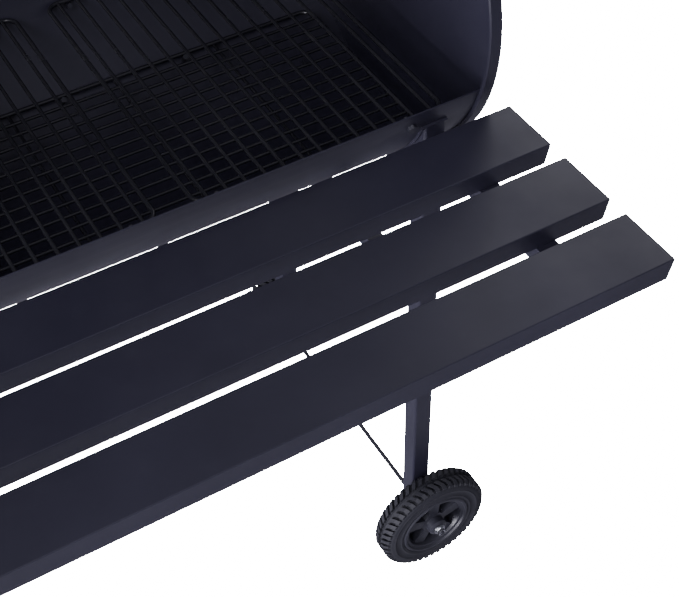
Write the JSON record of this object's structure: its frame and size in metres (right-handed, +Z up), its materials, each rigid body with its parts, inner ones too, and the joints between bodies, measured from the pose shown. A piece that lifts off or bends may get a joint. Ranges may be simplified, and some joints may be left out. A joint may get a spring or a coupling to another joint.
{
  "type": "offset smoker",
  "caption": "Barrel smoker on a wheeled leg frame with a side firebox, chimney, open curved lid, wire cooking grates and a slatted front shelf.",
  "frame": {"origin": "centre of the whole object's box, on the ground, with the barrel lid open as stored", "axes": "+X along the barrel towards the wheels and chimney, +Y towards the back where the lid hinge is, +Z up; the shelf is on the -Y side"},
  "size_m": [1.1394, 0.7378, 1.3926],
  "materials": {
    "powder_coat": "satin black powder coat",
    "tyre": "matt black rubber",
    "rim_plastic": "satin black moulded plastic",
    "black_plastic": "matt black plastic",
    "zinc_steel": "bright zinc plated",
    "black_steel": "satin black",
    "grate_enamel": "glossy black enamel",
    "grate_steel": "dark heat-resistant coat",
    "gauge_glass": "clear",
    "gauge_dial": "printed white enamel",
    "gauge_pointer": "red paint",
    "handle_grip": "polished"
  },
  "bodies": {
    "frame": {"barrel_shell": "powder_coat", "barrel_end_left": "powder_coat", "barrel_end_right": "powder_coat", "frame_bolts": "black_steel", "leg_brace_left": "powder_coat", "leg_brace_right": "powder_coat", "axle": "black_steel", "axle_washers": "zinc_steel", "axle_nuts": "zinc_steel", "saddles": "powder_coat", "foot_caps": "black_plastic", "leg_front_left": "powder_coat", "leg_rear_left": "powder_coat", "leg_front_right": "powder_coat", "leg_rear_right": "powder_coat", "shelf_bolts": "zinc_steel", "shelf_slat_1": "powder_coat", "shelf_slat_2": "powder_coat", "shelf_slat_3": "powder_coat", "shelf_arm_left": "powder_coat", "shelf_arm_right": "powder_coat", "firebox_shell": "powder_coat", "firebox_end_left": "powder_coat", "firebox_end_right": "powder_coat", "collar": "powder_coat", "vent_pivot": "zinc_steel", "chimney_elbow": "powder_coat", "chimney_bolts": "zinc_steel", "chimney_pipe": "powder_coat", "chimney_pivot": "zinc_steel", "lid_stops": "powder_coat", "hinge_leaves": "powder_coat", "hinge_pins": "zinc_steel"},
    "lid": {"lid_shell": "powder_coat", "lid_handle": "handle_grip", "lid_handle_posts": "powder_coat", "lid_handle_screws": "zinc_steel", "gauge_case": "zinc_steel", "gauge_dial": "gauge_dial", "gauge_lens": "gauge_glass", "gauge_nut": "zinc_steel", "lid_hinge_moving": "powder_coat"},
    "gauge_pointer": {"gauge_pointer": "gauge_pointer"},
    "firebox_lid": {"firebox_lid": "powder_coat", "firebox_handle": "handle_grip", "firebox_handle_posts": "powder_coat", "firebox_hinge_moving": "powder_coat"},
    "wheel_front": {"tyre_front": "tyre", "wheel_rim_front": "rim_plastic"},
    "wheel_rear": {"tyre_rear": "tyre", "wheel_rim_rear": "rim_plastic"},
    "chimney_cap": {"chimney_cap": "powder_coat"},
    "vent_disc": {"vent_disc": "powder_coat"},
    "cooking_grate_left": {"cooking_grate_left": "grate_enamel"},
    "cooking_grate_right": {"cooking_grate_right": "grate_enamel"},
    "charcoal_grate": {"charcoal_grate": "grate_steel"},
    "firebox_grate": {"firebox_grate": "grate_steel"}
  },
  "joints": [
    {"name": "lid_hinge", "type": "hinge", "parent": "frame", "child": "lid", "pos_m": [0.1197, 0.26315, 0.95246], "axis": [1, 0, 0], "range_deg": [0, 100]},
    {"name": "gauge_pointer_turn", "type": "hinge", "parent": "lid", "child": "gauge_pointer", "pos_m": [0.1197, 0.34166, 1.25574], "axis": [0, -0.848, -0.5299], "range_deg": [0, 270]},
    {"name": "firebox_lid_hinge", "type": "hinge", "parent": "frame", "child": "firebox_lid", "pos_m": [-0.3903, 0.18408, 0.85892], "axis": [-1, 0, 0], "range_deg": [0, 95]},
    {"name": "wheel_front_spin", "type": "hinge", "parent": "frame", "child": "wheel_front", "pos_m": [0.4017, -0.09989, 0.0785], "axis": [0, 1, 0], "continuous": true},
    {"name": "wheel_rear_spin", "type": "hinge", "parent": "frame", "child": "wheel_rear", "pos_m": [0.4017, 0.28811, 0.0785], "axis": [0, 1, 0], "continuous": true},
    {"name": "chimney_cap_swing", "type": "hinge", "parent": "frame", "child": "chimney_cap", "pos_m": [0.5287, 0.17811, 1.273], "axis": [0, 0, 1], "range_deg": [0, 90]},
    {"name": "vent_turn", "type": "hinge", "parent": "frame", "child": "vent_disc", "pos_m": [-0.5453, 0.09411, 0.678], "axis": [1, 0, 0], "range_deg": [0, 45]},
    {"name": "cooking_grate_left_lift", "type": "slide", "parent": "frame", "child": "cooking_grate_left", "axis": [0, 0, 1], "range_m": [0, 0.12]},
    {"name": "cooking_grate_right_lift", "type": "slide", "parent": "frame", "child": "cooking_grate_right", "axis": [0, 0, 1], "range_m": [0, 0.12]},
    {"name": "charcoal_grate_lift", "type": "slide", "parent": "frame", "child": "charcoal_grate", "axis": [0, 0, 1], "range_m": [0, 0.05]},
    {"name": "firebox_grate_lift", "type": "slide", "parent": "frame", "child": "firebox_grate", "axis": [0, 0, 1], "range_m": [0, 0.05]}
  ]
}
